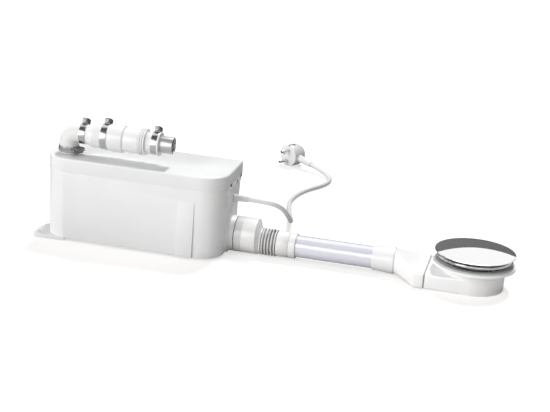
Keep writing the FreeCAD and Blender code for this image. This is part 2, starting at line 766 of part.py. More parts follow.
# Cover dome: thin chrome shell with a turned rim
cover_low = ring_top + cover_lift
sphere_radius = (cover_radius ** 2 + cover_rise ** 2) / (2 * cover_rise)
dome_steps = 10
outer_points = []
inner_points = []
for index in range(dome_steps + 1):
    reach = cover_radius * (1 - index / dome_steps)
    height = math.sqrt(sphere_radius ** 2 - reach ** 2) - (sphere_radius - cover_rise)
    outer_points.append((cover_low + cover_rim_height + height, reach))
    inner_points.append((cover_low + cover_rim_height + height - cover_wall,
                         min(reach, cover_radius - cover_wall)))
dome_profile = ([(cover_low, cover_radius - cover_wall), (cover_low, cover_radius)] + outer_points
                + list(reversed(inner_points)))
export("cover_dome", turned(dome_profile, trap_centre))

# Dip cup: hangs on the ring's ledge, drains down its middle and carries the cover on posts
cup_rim_low = ledge_low + ring_ledge_height + cup_rim_gap
cup_low = cup_floor_gap + trap_wall
cup_rim_radius = sleeve_inner - seat_gap
cup = fused([cyl(cup_radius, trap_centre + V(0, 0, cup_low), cup_rim_low + cup_rim_height - cup_low),
             cyl(cup_rim_radius, trap_centre + V(0, 0, cup_rim_low), cup_rim_height)])
cup = cup.cut(cyl(cup_radius - cup_wall, trap_centre + V(0, 0, cup_low - past), cut_through))
posts = []
for index in range(cup_post_count):
    turn = math.radians(90 + 360 * index / cup_post_count)
    away = V(math.cos(turn), math.sin(turn), 0)
    centre = trap_centre + away * (cup_radius - cup_post_radius)
    drop = sphere_radius - math.sqrt(sphere_radius ** 2 - cup_radius ** 2)
    top = cover_low + cover_rim_height + cover_rise - cover_wall - drop
    posts.append(cyl(cup_post_radius, centre + V(0, 0, cup_rim_low - cup_post_root),
                     top - cup_rim_low + cup_post_root))
export("dip_cup", fused([cup] + posts).cut(turned(
    inner_points + [(cover_low + cut_through, 0), (cover_low + cut_through, cover_radius)],
    trap_centre)))
export("cup_seal", ring(sleeve_inner - ring_ledge_depth - running_gap, cup_radius,
                        trap_centre + V(0, 0, ledge_low), ring_ledge_height))


def elbow_tube(radius, corner, bend, run_axis, run_length, rise_length):
    # Quarter bend at a corner point: a run along run_axis and a rise along Z, met by a quarter torus
    centre = corner + run_axis * bend + Z_AXIS * bend
    mouth = Part.Face(Part.Wire(Part.makeCircle(radius, corner + Z_AXIS * bend, Z_AXIS)))
    turn_axis = run_axis.cross(Z_AXIS)
    quarter = mouth.revolve(centre, turn_axis, 90)
    rise = cyl(radius, corner + Z_AXIS * bend, rise_length)
    run = cyl(radius, corner + run_axis * bend, run_length, run_axis)
    return fused([quarter, rise, run])


# Riser pipe: from the pump outlet along the tank floor and up through the lid
riser_corner = V(riser_x, discharge_y, riser_low_z)
riser_rise = lid_top + riser_stand - riser_low_z - riser_bend
riser = elbow_tube(riser_radius, riser_corner, riser_bend, X_AXIS, riser_run, riser_rise)
export("riser_pipe", riser.cut(elbow_tube(riser_bore, riser_corner, riser_bend, X_AXIS,
                                          riser_run + past, riser_rise + past)))

# Discharge elbow: rubber bend over the riser, swivelling about it
discharge_z = lid_top + discharge_rise
elbow_low = lid_top + elbow_foot_gap
elbow_bore = riser_radius + running_gap
valve_start = riser_x + elbow_bend + elbow_run
elbow_corner = V(riser_x, discharge_y, discharge_z)
elbow_centre = elbow_corner + V(elbow_bend, 0, -elbow_bend)


def discharge_bend(radius, low_z, high_x):
    mouth = Part.Face(Part.Wire(Part.makeCircle(radius, elbow_corner - Z_AXIS * elbow_bend, Z_AXIS)))
    quarter = mouth.revolve(elbow_centre, Y_AXIS, 90)
    upright = cyl(radius, V(riser_x, discharge_y, low_z), discharge_z - elbow_bend - low_z)
    run = cyl(radius, V(riser_x + elbow_bend, discharge_y, discharge_z), high_x - riser_x - elbow_bend,
              X_AXIS)
    return fused([quarter, upright, run])


export("discharge_elbow", discharge_bend(elbow_radius, elbow_low, valve_start).cut(
    discharge_bend(elbow_bore, elbow_low - past, valve_start + past)))


def on_line(x):
    return V(x, discharge_y, discharge_z)


# Valve inlet: the spigot in the elbow, the cone, and the barrel that ends in the flap's seat
barrel_x = valve_start + valve_cone_length
body_x = barrel_x + valve_barrel_length
spigot_x = riser_x + elbow_bend
inlet_profile = [(spigot_x, riser_bore), (spigot_x, elbow_bore), (valve_start, elbow_bore),
                 (valve_start, elbow_radius), (barrel_x, valve_barrel_radius), (body_x, valve_barrel_radius),
                 (body_x, riser_bore)]
export("valve_inlet", turned(inlet_profile, on_line(0), X_AXIS))
export("valve_sleeve", ring(valve_sleeve_radius, valve_barrel_radius, on_line(body_x - valve_sleeve_length),
                            valve_sleeve_length, X_AXIS))

# Valve body: the wide chamber round the flap, with the flap's pin across its top
union_x = body_x + valve_body_length
body_profile = [(body_x, valve_inner_radius), (body_x, valve_body_radius),
                (union_x - valve_body_taper, valve_body_radius), (union_x, valve_body_small_radius),
                (union_x, valve_inner_radius)]
flap_x = body_x + seat_gap + flap_knuckle_radius
pin_start = on_line(flap_x) + V(0, -flap_pin_length / 2, flap_pivot_rise)
pin_solid = cyl(flap_pin_radius, pin_start, flap_pin_length, Y_AXIS)
export("valve_body", turned(body_profile, on_line(0), X_AXIS).cut(pin_solid))
export("check_flap_pin", pin_solid)
check_flap = flap_solid(flap_radius, flap_pivot_rise, -1)
check_flap.translate(on_line(flap_x) + V(0, 0, flap_pivot_rise))
export("check_flap", check_flap)

# Valve union: the second length of the body and its three grip rings
ring_x = union_x + union_length
union_end = ring_x + union_ring_count * union_ring_pitch
union_profile = [(union_x, valve_inner_radius), (union_x, union_radius), (ring_x, union_radius)]
for index in range(union_ring_count):
    start = ring_x + index * union_ring_pitch
    union_profile += [(start, union_ring_radius), (start + union_ring_width, union_ring_radius),
                      (start + union_ring_width, union_core_radius),
                      (start + union_ring_pitch, union_core_radius)]
union_profile += [(union_end, discharge_pipe_bore), (ring_x, discharge_pipe_bore),
                  (ring_x, valve_inner_radius)]
export("valve_union", turned(union_profile, on_line(0), X_AXIS))

# Outlet sleeve and the metal discharge pipe, whose narrower root it holds
sleeve_end = union_end + outlet_sleeve_length
lip_x = sleeve_end - outlet_lip_length
pipe_root_x = sleeve_end - discharge_pipe_insertion
pipe_mouth_x = sleeve_end + discharge_pipe_shown
outlet_profile = [(union_end, discharge_pipe_bore), (union_end, outlet_sleeve_radius),
                  (lip_x, outlet_sleeve_radius), (lip_x, outlet_lip_radius), (sleeve_end, outlet_lip_radius),
                  (sleeve_end, discharge_pipe_root_radius), (pipe_root_x, discharge_pipe_root_radius),
                  (pipe_root_x, discharge_pipe_bore)]
export("outlet_sleeve", turned(outlet_profile, on_line(0), X_AXIS))
pipe_profile = [(pipe_root_x, discharge_pipe_bore), (pipe_root_x, discharge_pipe_root_radius),
                (sleeve_end, discharge_pipe_root_radius), (sleeve_end, discharge_pipe_radius),
                (pipe_mouth_x, discharge_pipe_radius), (pipe_mouth_x, discharge_pipe_bore)]
export("discharge_pipe", turned(pipe_profile, on_line(0), X_AXIS))


def clamp(centre, held_radius, axis, turn):
    # Band about an axis with the worm housing on top, turned round the axis, and the screw across it
    band_outer = held_radius + clamp_band
    band = ring(band_outer, held_radius, V(0, 0, -clamp_width / 2), clamp_width)
    housing = box(held_radius, band_outer + clamp_housing_height, -clamp_housing_length / 2,
                  clamp_housing_length / 2, -clamp_housing_width / 2, clamp_housing_width / 2)
    housing = housing.cut(cyl(band_outer, V(0, 0, -clamp_width), 2 * clamp_width))
    screw_x = band_outer + clamp_housing_height - clamp_screw_radius - clamp_screw_cover
    head_y = clamp_housing_length / 2
    shank = cyl(clamp_shank_radius, V(screw_x, head_y - clamp_screw_length, 0), clamp_screw_length, Y_AXIS)
    head = cyl(clamp_screw_radius, V(screw_x, head_y, 0), clamp_screw_head_length, Y_AXIS)
    head_end = head_y + clamp_screw_head_length
    slot = box(screw_x - clamp_slot_width / 2, screw_x + clamp_slot_width / 2, head_end - clamp_slot_depth,
               head_end + past, -clamp_screw_radius, clamp_screw_radius)
    housing = housing.cut(cyl(clamp_shank_radius, V(screw_x, -clamp_screw_length, 0),
                              2 * clamp_screw_length, Y_AXIS))
    screw = fused([shank, head]).cut(slot)
    place = FreeCAD.Placement(centre, FreeCAD.Rotation(Z_AXIS, axis) * FreeCAD.Rotation(Z_AXIS, turn))
    for shape in (band, housing, screw):
        shape.Placement = place
    return [band, housing, screw]


# The four clamps: riser, elbow, valve sleeve and outlet
lean = 180 - top_housing_lean
riser_clamp_centre = V(riser_x, discharge_y, lid_top + riser_clamp_rise)
clamps = [clamp(riser_clamp_centre, elbow_radius, Z_AXIS, riser_housing_turn),
          clamp(on_line(valve_start - elbow_clamp_gap - clamp_width / 2), elbow_radius, X_AXIS, lean),
          clamp(on_line(body_x - sleeve_clamp_gap - clamp_width / 2), valve_sleeve_radius, X_AXIS, lean),
          clamp(on_line(lip_x - clamp_width / 2), outlet_sleeve_radius, X_AXIS, lean)]
for index, name in enumerate(("clamp_bands", "clamp_housings", "clamp_screws")):
    export(name, Part.makeCompound([pieces[index] for pieces in clamps]))

# Pump casing and suction cover: a round chamber with its stub to the riser
motor_axis = V(motor_x, motor_y, 0)
casing_top = casing_low + casing_height
casing = cyl(casing_radius, motor_axis + V(0, 0, casing_low), casing_height)
stub_end = riser_x + riser_bend + riser_run
stub_start = stub_end - outlet_stub_length / 2
stub_reach = motor_x - stub_start
stub = cyl(riser_radius + outlet_stub_wall, V(stub_start, discharge_y, riser_low_z), stub_reach, X_AXIS)
casing = fused([casing, stub])
casing = casing.cut(cyl(casing_radius - casing_wall, motor_axis + V(0, 0, casing_low - past),
                        casing_height - casing_wall + past))
casing = casing.cut(cyl(riser_radius, V(stub_start - past, discharge_y, riser_low_z),
                        outlet_stub_length / 2 + past, X_AXIS))
casing = casing.cut(cyl(riser_bore, V(stub_start, discharge_y, riser_low_z), stub_reach, X_AXIS))
casing = casing.cut(cyl(casing_shaft_hole, motor_axis, casing_top + past))
export("pump_casing", casing)
cover_plate = ring(casing_radius - casing_wall, suction_radius, motor_axis + V(0, 0, casing_low),
                   suction_cover_height)
cover_legs = []
for index in range(suction_leg_count):
    turn = math.radians(suction_leg_turn + 360 * index / suction_leg_count)
    leg_circle = casing_radius - casing_wall - suction_leg_inset
    spot = motor_axis + V(math.cos(turn), math.sin(turn), 0) * leg_circle
    cover_legs.append(cyl(suction_leg_radius, spot + V(0, 0, floor_top), casing_low - floor_top + past))
export("suction_cover", fused([cover_plate] + cover_legs))

# Motor bracket, housing, stator, windings, bearings and shaft seal
bracket_top = casing_top + bracket_height
export("motor_bracket", ring(bracket_radius, bearing_radius, motor_axis + V(0, 0, casing_top),
                             bracket_height))
housing = cyl(motor_radius, motor_axis + V(0, 0, bracket_top), motor_height)
housing = housing.cut(cyl(motor_radius - motor_wall, motor_axis + V(0, 0, bracket_top + motor_wall),
                          motor_height - 2 * motor_wall))
housing = housing.fuse(ring(bearing_radius + motor_wall, bearing_radius, motor_axis + V(0, 0, bracket_top),
                            lower_bearing_z + bearing_height - bracket_top))
pocket_low = upper_bearing_z - motor_wall
upper_pocket = ring(bearing_radius + motor_wall, bearing_radius, motor_axis + V(0, 0, pocket_low),
                    bracket_top + motor_height - pocket_low)
housing = housing.fuse(upper_pocket)
housing = housing.cut(cyl(bearing_radius, motor_axis + V(0, 0, bracket_top - past),
                          lower_bearing_z + bearing_height - bracket_top + past))
housing = housing.cut(cyl(bearing_radius, motor_axis + V(0, 0, pocket_low - past),
                          bearing_height + motor_wall + past))
export("motor_housing", housing.removeSplitter())
export("stator_core", ring(stator_outer, stator_inner, motor_axis + V(0, 0, stator_low), stator_height))
windings = []
for low in (stator_low - winding_height, stator_low + stator_height):
    windings.append(ring(winding_outer, winding_inner, motor_axis + V(0, 0, low), winding_height))
export("stator_windings", Part.makeCompound(windings))
bearings = [ring(bearing_radius, shaft_radius + running_gap, motor_axis + V(0, 0, low), bearing_height)
            for low in (lower_bearing_z, upper_bearing_z)]
export("shaft_bearings", Part.makeCompound(bearings))
export("shaft_seal", ring(bearing_radius, shaft_radius + running_gap, motor_axis + V(0, 0, casing_top),
                          shaft_seal_height))

# Rotor core, shaft and impeller: the parts that spin
export("motor_shaft", cyl(shaft_radius, motor_axis + V(0, 0, shaft_low), shaft_top - shaft_low))
export("rotor_core", ring(rotor_radius, shaft_radius, motor_axis + V(0, 0, stator_low), stator_height))
impeller_low = casing_low + suction_cover_height + impeller_gap
plate_low = impeller_low + impeller_height - impeller_plate
impeller_solids = [cyl(impeller_radius, motor_axis + V(0, 0, plate_low), impeller_plate),
                   cyl(impeller_hub_radius, motor_axis + V(0, 0, impeller_low),
                       impeller_height + impeller_hub_rise)]
for index in range(impeller_blade_count):
    blade = box(impeller_hub_radius - past, impeller_radius - past, -impeller_blade_width / 2,
                impeller_blade_width / 2, impeller_low, plate_low)
    blade.rotate(V(0, 0, 0), Z_AXIS, 360 * index / impeller_blade_count)
    blade.translate(motor_axis)
    impeller_solids.append(blade)
impeller = fused(impeller_solids).cut(cyl(shaft_radius, motor_axis + V(0, 0, shaft_low), cut_through))
export("impeller", impeller)

# Air bell, pressure switch, plunger and capacitor
chamber_x = half_length - chamber_inset
chamber_axis = V(chamber_x, chamber_y, 0)
chamber = cyl(chamber_radius, chamber_axis + V(0, 0, chamber_low), chamber_top - chamber_low)
chamber = chamber.cut(cyl(chamber_radius - chamber_wall, chamber_axis + V(0, 0, chamber_low - past),
                          chamber_top - chamber_low - chamber_wall + past))
plunger_bore = plunger_radius + running_gap
switch_low = chamber_top + seat_gap
switch_floor = switch_low + plunger_length - plunger_travel
foot_x = chamber_radius - chamber_wall / 2
post_x = switch_length / 2 - switch_post_inset
chamber_feet = []
switch_posts = []
for sign in (-1, 1):
    foot_middle = chamber_x + sign * foot_x
    foot = box(foot_middle - chamber_foot_half, foot_middle + chamber_foot_half,
               chamber_y - chamber_foot_width / 2, chamber_y + chamber_foot_width / 2,
               floor_top, chamber_low + chamber_foot_grip)
    bell_bore = cyl(chamber_radius - chamber_wall, chamber_axis, chamber_low + chamber_foot_grip + past)
    chamber_feet.append(foot.cut(bell_bore))
    post_middle = chamber_x + sign * post_x
    switch_posts.append(box(post_middle - switch_post_half, post_middle + switch_post_half,
                            chamber_y - switch_post_half, chamber_y + switch_post_half,
                            chamber_top - past, switch_floor))
export("pressure_chamber", fused([chamber] + chamber_feet + switch_posts))
switch_case = box(chamber_x - switch_length / 2, chamber_x + switch_length / 2, chamber_y - switch_width / 2,
                  chamber_y + switch_width / 2, switch_floor, switch_floor + switch_height)
plunger_low = switch_low
plunger_top = plunger_low + plunger_length
switch_case = switch_case.cut(cyl(plunger_bore, chamber_axis + V(0, 0, switch_floor - past),
                                  plunger_top + plunger_travel + seat_gap - switch_floor + past))
export("microswitch", switch_case)
export("switch_plunger", cyl(plunger_radius, chamber_axis + V(0, 0, plunger_low), plunger_length))
export("capacitor", cyl(capacitor_radius, capacitor_axis + V(0, 0, capacitor_low), capacitor_height))

# Cable gland through the tank side, its nut inside, and the short ribbed strain relief
gland_face = half_length - lid_overhang + side_pad_proud
gland_nut_x = half_length - lid_overhang - wall - gland_nut_height - tank_draft
relief_x = gland_face + gland_flange
relief_end = relief_x + relief_length


def on_gland(x):
    return V(x, gland_y, gland_z)


gland = fused([cyl(gland_radius, on_gland(gland_face), gland_flange, X_AXIS),
               cyl(gland_sleeve_radius, on_gland(gland_nut_x), gland_face - gland_nut_x + past, X_AXIS)])
export("cable_gland", gland.cut(cyl(cord_radius, on_gland(gland_nut_x - past), cut_through, X_AXIS)))
export("gland_nut", ring(gland_nut_radius, gland_sleeve_radius, on_gland(gland_nut_x), gland_nut_height,
                         X_AXIS))
relief_profile = [(relief_x, 0), (relief_x, relief_radius)]
taper = (relief_radius - relief_end_radius) / relief_length
groove_pitch = (relief_length - relief_plain_end) / relief_groove_count
for index in range(relief_groove_count):
    near = (index + 0.5) * groove_pitch
    far = near + relief_groove_width
    relief_profile += [(relief_x + near, relief_radius - taper * near),
                       (relief_x + near, relief_radius - taper * near - relief_groove_depth),
                       (relief_x + far, relief_radius - taper * far - relief_groove_depth),
                       (relief_x + far, relief_radius - taper * far)]
relief_profile += [(relief_end, relief_end_radius), (relief_end, 0)]
export("strain_relief", turned(relief_profile, on_gland(0), X_AXIS))

# Cord: straight runs joined by tangent arcs, starting where the strain relief ends
points = [V(*point) for point in cord_points]
points[0].x = relief_end
edges = []
radii = []
start = points[0]
length = 0
for index in range(1, len(points) - 1):
    before = points[index] - points[index - 1]
    after = points[index + 1] - points[index]
    turn = before.getAngle(after)
    cut_back = cord_arc_share * min(before.Length, after.Length)
    radii.append(cut_back / math.tan(turn / 2))
    into = before.normalize()
    out = after.normalize()
    first = points[index] - into * cut_back
    last = points[index] + out * cut_back
    bisector = (out - into).normalize()
    arc_centre = points[index] + bisector * (radii[-1] / math.cos(turn / 2))
    middle = arc_centre - bisector * radii[-1]
    edges.append(Part.makeLine(start, first))
    edges.append(Part.Arc(first, middle, last).toShape())
    length += edges[-1].Length + edges[-2].Length
    start = last
edges.append(Part.makeLine(start, points[-1]))
length += edges[-1].Length
route = Part.Wire(edges)
section = Part.Wire(Part.makeCircle(cord_radius, points[0], points[1] - points[0]))
cord = route.makePipeShell([section], True, False)
export("power_cord", cord)
print("cord radii", [round(radius, 1) for radius in radii], "length", round(length, 1))
print("cord volume", round(cord.Volume), "section by length", round(math.pi * cord_radius ** 2 * length))

# Plug: a right-angle earthed plug standing on its rim at the cord's far end
plug_exit = (points[-2] - points[-1]).normalize()
plug_face = plug_exit.cross(Z_AXIS).normalize()
plug_side = plug_face.cross(plug_exit)
plug_centre = points[-1] - plug_exit * (plug_radius + plug_relief_length)
plug_place = FreeCAD.Placement(plug_centre, FreeCAD.Rotation(plug_side, plug_exit * -1, plug_face, "ZYX"))


def in_plug(name, shape):
    shape.Placement = plug_place
    export(name, shape)


face_z = plug_exit_depth
back_z = face_z - plug_depth
disc = cyl(plug_radius, V(0, 0, back_z), plug_depth)
back = Part.makeCone(plug_back_radius, plug_radius, plug_back_depth, V(0, 0, back_z - plug_back_depth))
relief = Part.makeCone(plug_relief_radius, plug_relief_end_radius, plug_relief_length + plug_relief_root,
                       V(0, plug_relief_root - plug_radius, 0), Y_AXIS * -1)
plug = fused([disc, back, relief])
pins = []
clips = []
clip_reach = plug_radius - earth_clip_thickness
for sign in (-1, 1):
    foot = V(sign * pin_pitch / 2, 0, face_z)
    root = cyl(pin_root_radius, foot - V(0, 0, pin_root), pin_root)
    pins.append(fused([root, cyl(pin_radius, foot, pin_length)]))
    side = box(clip_reach - past, plug_radius + past, -earth_clip_width / 2, earth_clip_width / 2,
               face_z - earth_clip_length, face_z + past)
    side.rotate(V(0, 0, 0), Z_AXIS, 90 - sign * 90)
    clips.append(side.common(cyl(plug_radius, V(0, 0, back_z), plug_depth)))
earth_hole = cyl(earth_hole_radius, V(0, earth_hole_rise, face_z - earth_hole_depth), earth_hole_depth + past)
for cutter in pins + clips + [earth_hole]:
    plug = plug.cut(cutter)
in_plug("plug_body", plug)
in_plug("plug_pins", Part.makeCompound(pins))
in_plug("plug_earth_clips", Part.makeCompound(clips))
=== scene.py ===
import math
import bpy
from mathutils import Matrix, Vector


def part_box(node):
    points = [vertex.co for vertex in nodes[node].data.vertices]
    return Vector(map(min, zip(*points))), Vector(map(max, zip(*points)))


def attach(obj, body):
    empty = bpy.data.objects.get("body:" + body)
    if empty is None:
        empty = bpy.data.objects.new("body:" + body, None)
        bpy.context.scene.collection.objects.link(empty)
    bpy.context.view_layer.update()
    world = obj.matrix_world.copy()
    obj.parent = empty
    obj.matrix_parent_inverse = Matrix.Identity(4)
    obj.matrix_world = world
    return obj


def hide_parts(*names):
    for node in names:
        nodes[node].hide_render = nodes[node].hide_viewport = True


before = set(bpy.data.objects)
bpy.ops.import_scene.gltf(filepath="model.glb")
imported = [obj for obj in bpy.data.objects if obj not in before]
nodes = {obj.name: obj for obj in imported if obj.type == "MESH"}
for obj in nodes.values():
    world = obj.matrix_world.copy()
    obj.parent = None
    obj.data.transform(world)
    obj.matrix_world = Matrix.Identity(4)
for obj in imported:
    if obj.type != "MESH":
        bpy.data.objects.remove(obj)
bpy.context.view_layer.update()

# The camera stands where the photograph's did: in front, a little to the right, looking down, and
# tipped slightly, so that upright edges lean to the right at the top.
azimuth = math.radians(11.486)
elevation = math.radians(17.543)
tip = math.radians(-4.604)
target = Vector((0.2007, -0.0081, 0.08275))
distance = 2.0749
back = Vector((math.sin(azimuth) * math.cos(elevation), -math.cos(azimuth) * math.cos(elevation),
               math.sin(elevation)))
right = Vector((math.cos(azimuth), math.sin(azimuth), 0.0))
upward = back.cross(right)
tipped_right = right * math.cos(tip) - upward * math.sin(tip)
tipped_up = right * math.sin(tip) + upward * math.cos(tip)
camera_data = bpy.data.cameras.new("camera")
camera_data.lens = 94.64
camera_data.sensor_width = 36.0
camera_data.clip_end = 60.0
camera = bpy.data.objects.new("camera", camera_data)
bpy.context.scene.collection.objects.link(camera)
place = Matrix((tipped_right, tipped_up, back)).transposed().to_4x4()
place.translation = target + back * distance
camera.matrix_world = place
bpy.context.scene.camera = camera


# The mains cord: a white round sheath, 7 mm thick, moulded in one length with its plug. It leaves the
# gland straight, drops to the floor behind the pump and runs back to the plug, as the photograph shows.
def surface(name, colour, roughness, grain=900.0, depth=0.00002, drift=0.03, metallic=0.0, **sockets):
    # A finish with slow drift in its colour, uneven gloss and a fine moulded or drawn grain
    material = bpy.data.materials.new(name)
    material.use_nodes = True
    tree = material.node_tree
    shader = tree.nodes["Principled BSDF"]
    place_of = tree.nodes.new("ShaderNodeTexCoord")
    slow = tree.nodes.new("ShaderNodeTexNoise")
    slow.inputs["Scale"].default_value = 22.0
    slow.inputs["Detail"].default_value = 4.0
    darkest = [channel * (1 - drift) for channel in colour]
    lightest = [min(1.0, channel * (1 + drift / 2)) for channel in colour]
    tone = tree.nodes.new("ShaderNodeValToRGB")
    tone.color_ramp.elements[0].position = 0.3
    tone.color_ramp.elements[1].position = 0.7
    tone.color_ramp.elements[0].color = (*darkest, 1.0)
    tone.color_ramp.elements[1].color = (*lightest, 1.0)
    fine = tree.nodes.new("ShaderNodeTexNoise")
    fine.inputs["Scale"].default_value = grain
    fine.inputs["Detail"].default_value = 3.0
    gloss = tree.nodes.new("ShaderNodeMapRange")
    gloss.inputs["From Min"].default_value = 0.3
    gloss.inputs["From Max"].default_value = 0.7
    gloss.inputs["To Min"].default_value = roughness * 0.85
    gloss.inputs["To Max"].default_value = min(1.0, roughness * 1.15)
    bump = tree.nodes.new("ShaderNodeBump")
    bump.inputs["Strength"].default_value = 0.5
    bump.inputs["Distance"].default_value = depth
    links = tree.links
    links.new(place_of.outputs["Object"], slow.inputs["Vector"])
    links.new(place_of.outputs["Object"], fine.inputs["Vector"])
    links.new(slow.outputs["Fac"], tone.inputs["Fac"])
    links.new(tone.outputs["Color"], shader.inputs["Base Color"])
    links.new(slow.outputs["Fac"], gloss.inputs["Value"])
    links.new(gloss.outputs["Result"], shader.inputs["Roughness"])
    links.new(fine.outputs["Fac"], bump.inputs["Height"])
    links.new(bump.outputs["Normal"], shader.inputs["Normal"])
    shader.inputs["Metallic"].default_value = metallic
    for socket, value in sockets.items():
        shader.inputs[socket.replace("_", " ")].default_value = value
    return material


def dress(piece, material):
    # One material over the whole piece, whatever slots it came with
    piece.data.materials.clear()
    piece.data.materials.append(material)


cord_sheath = surface("cord_sheath", (0.80, 0.80, 0.80), 0.42, grain=1500.0)
cord_diameter = 0.007
cord_points = [
    (0.1575, 0.0075, 0.082), (0.183, 0.0075, 0.082), (0.204, 0.0255, 0.072), (0.205, 0.088, 0.036),
    (0.198, 0.140, 0.013), (0.186, 0.190, 0.0035), (0.174, 0.236, 0.0035), (0.166, 0.284, 0.0035),
    (0.176, 0.342, 0.0035), (0.208, 0.400, 0.0035), (0.2025, 0.449, 0.0048), (0.161, 0.476, 0.0122),
]
cord_curve = bpy.data.curves.new("mains_cord", "CURVE")
cord_curve.dimensions = "3D"
cord_curve.bevel_depth = cord_diameter / 2
cord_curve.bevel_resolution = 8
cord_curve.resolution_u = 16
cord_curve.use_fill_caps = True
route = cord_curve.splines.new("NURBS")
route.points.add(len(cord_points) - 1)
for point, spot in zip(route.points, cord_points):
    point.co = (*spot, 1.0)
route.order_u = 3
route.use_endpoint_u = True
cord = bpy.data.objects.new("mains_cord", cord_curve)
bpy.context.scene.collection.objects.link(cord)
dress(cord, cord_sheath)
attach(cord, "pump_unit")
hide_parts("power_cord")


# The plug: a right-angle earthed plug moulded in white plastic on the cord's end, with two plated
# round pins, an earth hole in its face and a spring contact let into each side.
def finished(node, name, edge, material, body="pump_unit", angle=32.0, segments=3):
    # A welded copy of a part with its sharp edges rounded off, in place of the part
    source = nodes[node]
    piece = bpy.data.objects.new(name, source.data.copy())
    bpy.context.scene.collection.objects.link(piece)
    bpy.ops.object.select_all(action="DESELECT")
    piece.select_set(True)
    bpy.context.view_layer.objects.active = piece
    bpy.ops.object.mode_set(mode="EDIT")
    bpy.ops.mesh.select_all(action="SELECT")
    bpy.ops.mesh.remove_doubles(threshold=0.000004)
    bpy.ops.mesh.dissolve_limited(angle_limit=math.radians(0.6))
    bpy.ops.object.mode_set(mode="OBJECT")
    rounding = piece.modifiers.new("rounding", "BEVEL")
    rounding.width = edge
    rounding.segments = segments
    rounding.limit_method = "ANGLE"
    rounding.angle_limit = math.radians(angle)
    bpy.ops.object.modifier_apply(modifier="rounding")
    bpy.ops.object.shade_smooth_by_angle(angle=math.radians(angle))
    dress(piece, material)
    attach(piece, body)
    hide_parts(node)
    return piece


moulded = {"grain": 1400.0, "depth": 0.000012, "drift": 0.015}
white_plastic = surface("white_plastic", (0.84, 0.845, 0.85), 0.34, **moulded)
plated_pin = surface("plated_pin", (0.62, 0.61, 0.60), 0.25, metallic=1.0)
plug_shell = finished("plug_body", "plug_shell", 0.0012, white_plastic)
plug_pins = finished("plug_pins", "plug_pins_plated", 0.0008, plated_pin)
plug_contacts = finished("plug_earth_clips", "plug_contacts", 0.0002, plated_pin)

# The tank: one white injection moulding with drafted walls, a shallow front pad, a raised pad round
# the inlet and the cord, and two screw lugs at floor level.
finished("tank", "tank_moulding", 0.0010, white_plastic)
foot_rubber = surface("foot_rubber", (0.20, 0.20, 0.20), 0.7, grain=700.0)
dress(nodes["rubber_feet"], foot_rubber)

# The lid: a white moulded cap that drops over the tank's lip on a rubber seal, held by clips whose
# dark slots show on the inlet side beside a dark screw.
finished("lid", "lid_moulding", 0.0005, white_plastic)
black_plastic = surface("black_plastic", (0.045, 0.045, 0.045), 0.45)
black_rubber = surface("black_rubber", (0.035, 0.035, 0.035), 0.65)
for node, material in (("lid_clips", black_plastic), ("lid_screw", black_plastic),
                       ("lid_seal", black_rubber)):
    dress(nodes[node], material)

# The pump inside the tank: plastic casing and bracket, die-cast motor shell, steel core, copper
# windings, steel shaft with its bearings, and the air bell with its switch.
grey_plastic = surface("grey_plastic", (0.62, 0.62, 0.61), 0.5)
cast_shell = surface("cast_shell", (0.66, 0.67, 0.68), 0.42, metallic=1.0, grain=500.0, depth=0.00004)
core_steel = surface("core_steel", (0.18, 0.18, 0.19), 0.5, metallic=0.8)
copper = surface("copper", (0.62, 0.30, 0.14), 0.35, metallic=1.0, grain=300.0)
bright_steel = surface("bright_steel", (0.60, 0.60, 0.61), 0.22, metallic=1.0)
for material, names in (
        (grey_plastic, ("pump_casing", "suction_cover", "motor_bracket", "impeller", "pressure_chamber",
                        "dip_cup")),
        (cast_shell, ("motor_housing", "capacitor")),
        (core_steel, ("stator_core", "rotor_core")),
        (copper, ("stator_windings",)),
        (bright_steel, ("motor_shaft", "shaft_bearings", "check_flap_pin", "inlet_flap_pin")),
        (black_rubber, ("shaft_seal", "check_flap", "inlet_flap", "cup_seal")),
        (black_plastic, ("microswitch", "switch_plunger", "gland_nut")),
        (white_plastic, ("riser_pipe",))):
    for node in names:
        dress(nodes[node], material)

# The inlet: a dark rubber seal in the tank's collar, then the flap valve's white band and the
# eccentric reducer, a white moulding that brings the bore down to the pipe with the low sides level.
seal_rubber = surface("seal_rubber", (0.16, 0.155, 0.15), 0.6)
shaded_plastic = surface("shaded_plastic", (0.84, 0.84, 0.84), 0.30, **moulded)
band_plastic = surface("band_plastic", (0.72, 0.72, 0.72), 0.30, **moulded)
finished("inlet_seal", "inlet_seal_ring", 0.0002, seal_rubber)
finished("inlet_valve_body", "inlet_band", 0.0010, band_plastic)
finished("eccentric_reducer", "reducer", 0.0010, shaded_plastic)


